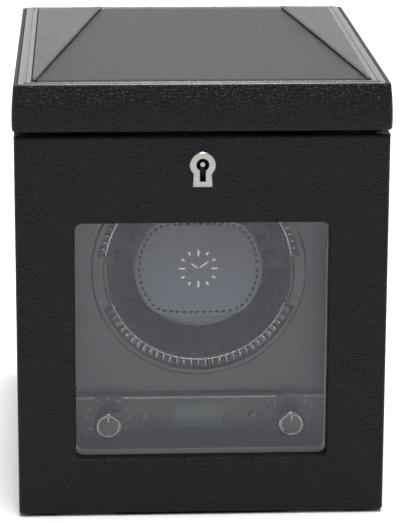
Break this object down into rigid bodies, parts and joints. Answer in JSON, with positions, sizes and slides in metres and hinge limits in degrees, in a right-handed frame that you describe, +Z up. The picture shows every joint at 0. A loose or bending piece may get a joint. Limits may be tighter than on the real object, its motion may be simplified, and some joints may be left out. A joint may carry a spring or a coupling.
{
  "type": "watch winder box",
  "caption": "Leatherette watch winder box with padded rear-hinged lid, drop-front glazed door with lock, motor-driven fluted drum with a padded watch cuff, and a control console.",
  "frame": {"origin": "centre of the outline on the surface the box stands on", "axes": "+Z up, the door faces -Y, +X to the right seen from the front"},
  "size_m": [0.1596, 0.2084, 0.1915],
  "materials": {
    "leatherette": "fine pebble grain, satin",
    "lid_leather": "pebble grain over padding",
    "lid_trim": "smooth creased leatherette",
    "suede": "short suede nap",
    "felt": "felt",
    "glass": "polished clear",
    "nickel": "brushed",
    "steel": "plain",
    "rubber": "matt",
    "black_gloss": "polished",
    "black_matte": "satin",
    "ring_gloss": "polished black chrome",
    "chrome": "polished",
    "button_plastic": "polished",
    "nylon": "moulded",
    "bronze": "sintered",
    "cuff_leather": "fine grain with stitched edge",
    "lcd_glass": "clear window over a grey-green display",
    "circuit_board": "solder mask"
  },
  "bodies": {
    "case": {"base_board": "leatherette", "base_felt": "felt", "side_panel_left": "leatherette", "side_panel_right": "leatherette", "rear_panel": "leatherette", "side_lining_left": "suede", "side_lining_right": "suede", "floor_lining": "suede", "lid_bumpers": "rubber", "door_magnets": "steel", "hinge_case_leaves": "steel", "hinge_pins": "steel", "fascia": "black_gloss", "housing_body": "black_matte", "housing_rear_cover": "black_matte", "rear_cover_screws": "steel", "dc_jack": "black_matte", "bearing_plate": "black_matte", "drum_bushes": "bronze", "motor_gearbox": "steel", "motor": "steel", "motor_screws": "steel", "rotary_switches": "black_matte", "tact_switches": "black_matte", "lcd_lens": "lcd_glass", "lcd_panel": "lcd_glass", "control_board": "circuit_board"},
    "door": {"door_panel": "leatherette", "window_glass": "glass", "glass_retainer": "suede", "escutcheon": "nickel", "lock_case": "steel", "lock_key_pin": "nickel", "door_keepers": "steel", "hinge_door_leaves": "steel"},
    "bolt": {"lock_bolt": "steel"},
    "lid": {"lid_shell": "leatherette", "lid_lining": "suede", "lid_trim_frame": "lid_trim", "lid_pad": "lid_leather", "lid_wing_left": "lid_leather", "lid_wing_right": "lid_leather", "lid_strike_plate": "steel", "hinge_lid_leaves": "steel"},
    "drum": {"drum_shell": "black_matte", "drum_bezel": "ring_gloss", "drum_gear": "nylon", "drum_shaft": "steel", "shaft_clip": "steel"},
    "pinion": {"motor_pinion": "nylon"},
    "cuff": {"cuff_face": "cuff_leather", "cuff_pad": "cuff_leather", "cuff_frame": "black_matte"},
    "speed_knob": {"speed_knob_cap": "black_matte", "speed_knob_ring": "chrome"},
    "direction_knob": {"direction_knob_cap": "black_matte", "direction_knob_ring": "chrome"},
    "set_button": {"set_button": "button_plastic"},
    "start_button": {"start_button": "button_plastic"}
  },
  "joints": [
    {"name": "lid_hinge", "type": "hinge", "parent": "case", "child": "lid", "pos_m": [0, 0.1026, 0.1698], "axis": [-1, 0, 0], "range_deg": [0, 95]},
    {"name": "door_hinge", "type": "hinge", "parent": "case", "child": "door", "pos_m": [0, -0.1008, 0.0026], "axis": [1, 0, 0], "range_deg": [0, 89.5]},
    {"name": "bolt_slide", "type": "slide", "parent": "door", "child": "bolt", "axis": [1, 0, 0], "range_m": [0, 0.0055]},
    {"name": "drum_spin", "type": "hinge", "parent": "case", "child": "drum", "pos_m": [0, -0.0669, 0.1015], "axis": [0, -1, 0], "continuous": true},
    {"name": "pinion_spin", "type": "hinge", "parent": "case", "child": "pinion", "pos_m": [0, -0.0089, 0.06535], "axis": [0, -1, 0], "continuous": true},
    {"name": "cuff_slide", "type": "slide", "parent": "drum", "child": "cuff", "axis": [0, -1, 0], "range_m": [0, 0.018]},
    {"name": "speed_knob_turn", "type": "hinge", "parent": "case", "child": "speed_knob", "pos_m": [-0.04, -0.0764, 0.036], "axis": [0, 1, 0], "range_deg": [-120, 120]},
    {"name": "direction_knob_turn", "type": "hinge", "parent": "case", "child": "direction_knob", "pos_m": [0.04, -0.0764, 0.036], "axis": [0, 1, 0], "range_deg": [-45, 45]},
    {"name": "set_button_press", "type": "slide", "parent": "case", "child": "set_button", "axis": [0, 1, 0], "range_m": [0, 0.0005], "stiffness_N_per_m": 400},
    {"name": "start_button_press", "type": "slide", "parent": "case", "child": "start_button", "axis": [0, 1, 0], "range_m": [0, 0.0005], "stiffness_N_per_m": 400}
  ],
  "couplings": [
    {"joint": "pinion_spin", "follows": "drum_spin", "ratio": -5}
  ]
}
